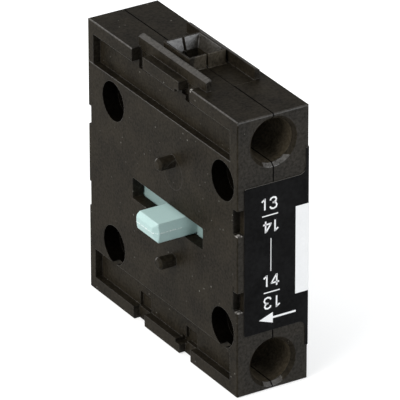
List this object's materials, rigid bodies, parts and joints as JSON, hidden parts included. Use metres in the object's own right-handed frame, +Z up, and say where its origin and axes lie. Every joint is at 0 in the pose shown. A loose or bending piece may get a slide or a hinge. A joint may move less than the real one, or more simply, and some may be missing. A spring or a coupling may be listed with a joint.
{
  "type": "auxiliary contact block",
  "caption": "Slim side-mounted auxiliary contact block: two moulded half shells round a spring-return slider, a bridge contact and screw clamp terminals.",
  "frame": {"origin": "centre of the four fixing sockets, on the mating face", "axes": "-X out of the mating face, -Y out of the narrow terminal face, +Z up"},
  "size_m": [0.0177, 0.0426, 0.0471],
  "materials": {
    "housing_plastic": "fine matt moulded surface",
    "slider_plastic": "pale teal moulding, slight sheen",
    "contact_brass": "bright stamped strip",
    "contact_silver": "silver alloy tips, satin",
    "zinc_steel": "zinc plated",
    "spring_steel": "drawn spring wire",
    "label_film": "black printed film",
    "label_white": "white printed field"
  },
  "bodies": {
    "housing": {"mating_shell": "housing_plastic", "cover_shell": "housing_plastic", "upper_fixed_contact": "contact_brass", "lower_fixed_contact": "contact_brass", "upper_fixed_tip": "contact_silver", "lower_fixed_tip": "contact_silver", "side_label": "label_film", "label_field": "label_white", "return_spring": "spring_steel"},
    "slider": {"slider": "slider_plastic", "contact_spring": "spring_steel"},
    "bridge": {"contact_bridge": "contact_brass", "upper_moving_tip": "contact_silver", "lower_moving_tip": "contact_silver"},
    "upper_clamp": {"upper_clamp_cage": "zinc_steel"},
    "lower_clamp": {"lower_clamp_cage": "zinc_steel"},
    "upper_screw": {"upper_terminal_screw": "zinc_steel"},
    "lower_screw": {"lower_terminal_screw": "zinc_steel"}
  },
  "joints": [
    {"name": "slider_travel", "type": "slide", "parent": "housing", "child": "slider", "axis": [0, 1, 0], "range_m": [0, 0.0048], "stiffness_N_per_m": 120, "springref_m": -0.008, "deforming": ["return_spring"]},
    {"name": "bridge_float", "type": "slide", "parent": "slider", "child": "bridge", "axis": [0, 1, 0], "range_m": [-0.00145, 0], "deforming": ["contact_spring"]},
    {"name": "upper_screw_turn", "type": "hinge", "parent": "housing", "child": "upper_screw", "pos_m": [0.0061, -0.0107, 0.0184], "axis": [0, 1, 0], "range_deg": [0, 2700]},
    {"name": "upper_clamp_travel", "type": "slide", "parent": "housing", "child": "upper_clamp", "axis": [0, -1, 0], "range_m": [0, 0.0045]},
    {"name": "lower_screw_turn", "type": "hinge", "parent": "housing", "child": "lower_screw", "pos_m": [0.0061, -0.0107, -0.0176], "axis": [0, 1, 0], "range_deg": [0, 2700]},
    {"name": "lower_clamp_travel", "type": "slide", "parent": "housing", "child": "lower_clamp", "axis": [0, -1, 0], "range_m": [0, 0.0045]}
  ],
  "couplings": [
    {"joint": "bridge_float", "follows": "slider_travel", "ratio": -0.302},
    {"joint": "upper_screw_turn", "follows": "upper_clamp_travel", "rad_per_m": 10472},
    {"joint": "lower_screw_turn", "follows": "lower_clamp_travel", "rad_per_m": 10472}
  ]
}
